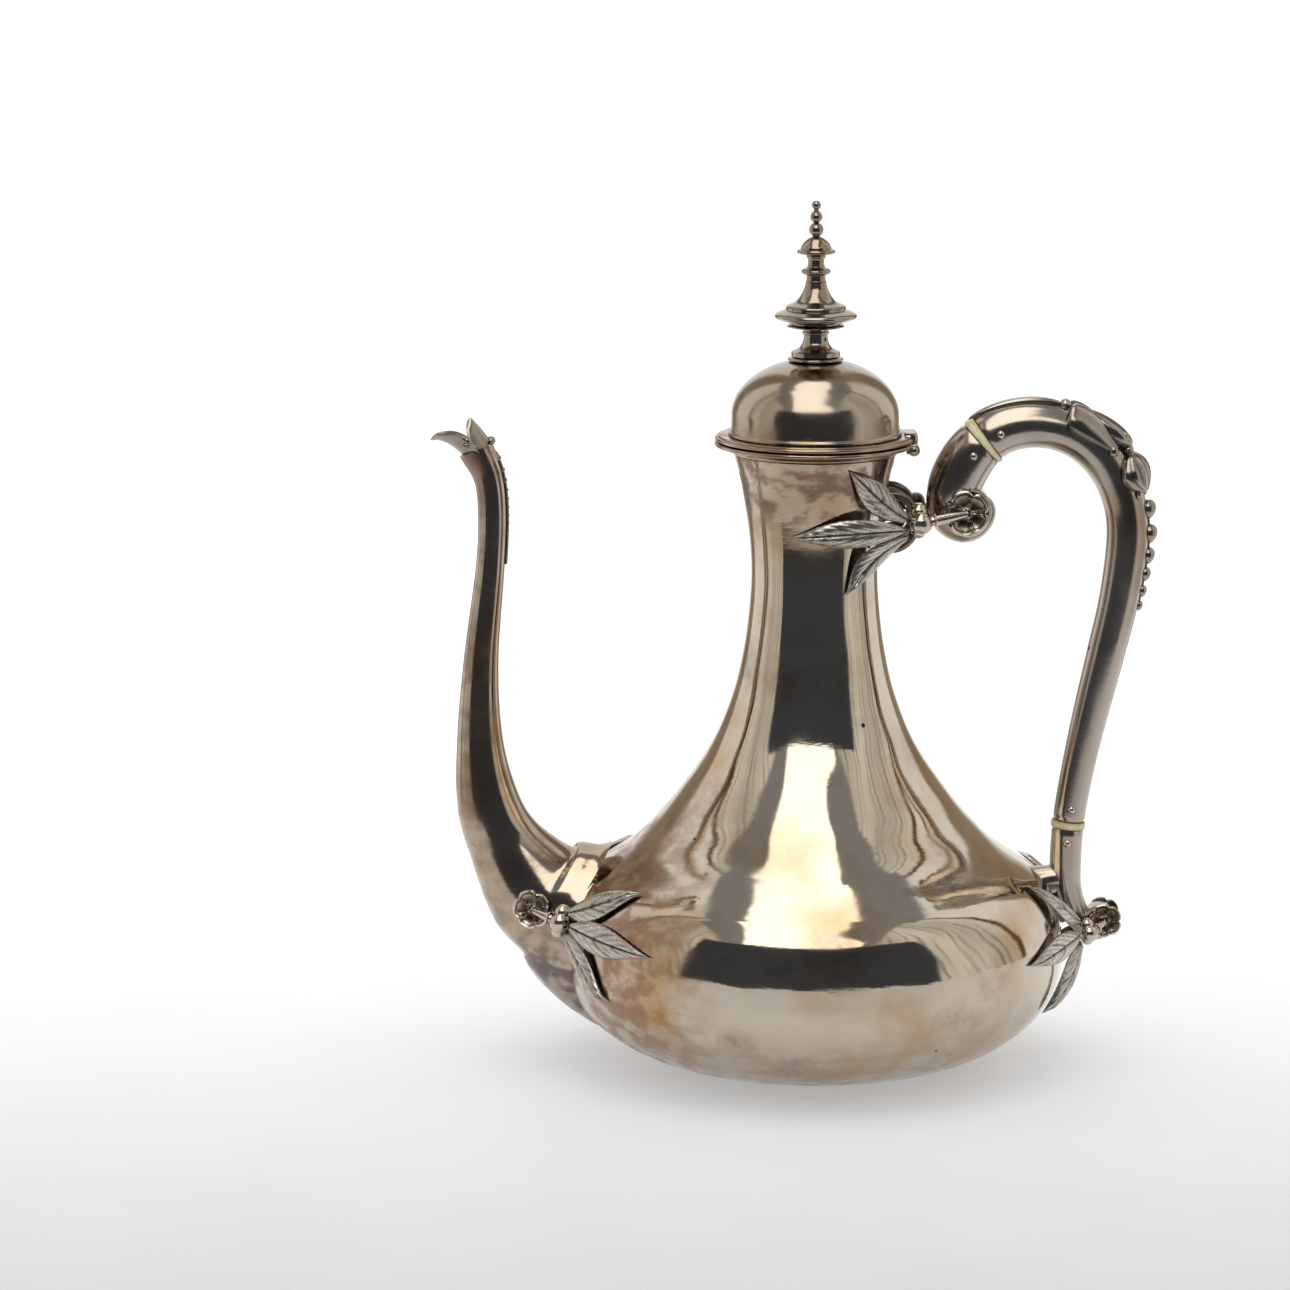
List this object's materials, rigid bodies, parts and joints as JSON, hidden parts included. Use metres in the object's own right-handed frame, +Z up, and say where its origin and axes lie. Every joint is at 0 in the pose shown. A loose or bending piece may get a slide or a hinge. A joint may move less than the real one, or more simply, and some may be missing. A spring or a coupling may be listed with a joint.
{
  "type": "silver coffee pot",
  "caption": "Bulbous long-necked silver coffee pot with a curved spout, scroll handle with insulators, cast leaf sprays and a hinged domed lid with a tall finial.",
  "frame": {"origin": "centre of the flat face the pot rests on", "axes": "+Z up through the finial, -X towards the spout, +X towards the handle and the lid hinge, +Y towards the back"},
  "size_m": [0.2171, 0.1512, 0.26],
  "materials": {
    "polished_silver": "polished sterling silver with light tarnish",
    "cast_silver": "cast and oxidised sterling silver",
    "ivory": "pale yellow ivory or bone"
  },
  "bodies": {
    "pot": {"pot_body": "polished_silver", "mouth_rim": "polished_silver", "spout_tube": "polished_silver", "spout_lip": "cast_silver", "spout_calyx": "cast_silver", "spout_bead_crest": "cast_silver", "handle_upper_socket": "polished_silver", "upper_insulator": "ivory", "handle_grip": "polished_silver", "lower_insulator": "ivory", "handle_lower_socket": "polished_silver", "handle_pin_upper_socket": "polished_silver", "handle_pin_upper_grip": "polished_silver", "handle_pin_lower_grip": "polished_silver", "handle_pin_lower_socket": "polished_silver", "handle_ridge": "cast_silver", "handle_bud_upper": "cast_silver", "handle_bud_lower": "cast_silver", "handle_bead_row": "cast_silver", "handle_top_front_leaf_upper": "cast_silver", "handle_top_front_leaf_middle": "cast_silver", "handle_top_front_leaf_lower": "cast_silver", "handle_top_front_berries": "cast_silver", "handle_top_front_flower": "cast_silver", "handle_top_back_leaf_upper": "cast_silver", "handle_top_back_leaf_middle": "cast_silver", "handle_top_back_leaf_lower": "cast_silver", "handle_top_back_berries": "cast_silver", "handle_top_back_flower": "cast_silver", "handle_foot_front_leaf_upper": "cast_silver", "handle_foot_front_leaf_middle": "cast_silver", "handle_foot_front_leaf_lower": "cast_silver", "handle_foot_front_berries": "cast_silver", "handle_foot_front_flower": "cast_silver", "handle_foot_back_leaf_upper": "cast_silver", "handle_foot_back_leaf_middle": "cast_silver", "handle_foot_back_leaf_lower": "cast_silver", "handle_foot_back_berries": "cast_silver", "handle_foot_back_flower": "cast_silver", "spout_foot_front_leaf_upper": "cast_silver", "spout_foot_front_leaf_middle": "cast_silver", "spout_foot_front_leaf_lower": "cast_silver", "spout_foot_front_berries": "cast_silver", "spout_foot_front_flower": "cast_silver", "spout_foot_back_leaf_upper": "cast_silver", "spout_foot_back_leaf_middle": "cast_silver", "spout_foot_back_leaf_lower": "cast_silver", "spout_foot_back_berries": "cast_silver", "spout_foot_back_flower": "cast_silver", "body_hinge_leaf": "polished_silver", "hinge_pin": "polished_silver"},
    "lid": {"lid_dome": "polished_silver", "lid_rim": "polished_silver", "lid_bezel": "polished_silver", "finial": "polished_silver", "finial_seat": "polished_silver", "finial_nut": "polished_silver", "lid_hinge_leaf": "polished_silver"}
  },
  "joints": [
    {"name": "lid_hinge", "type": "hinge", "parent": "pot", "child": "lid", "pos_m": [0.0292, 0, 0.1862], "axis": [0, 1, 0], "range_deg": [0, 80]}
  ]
}
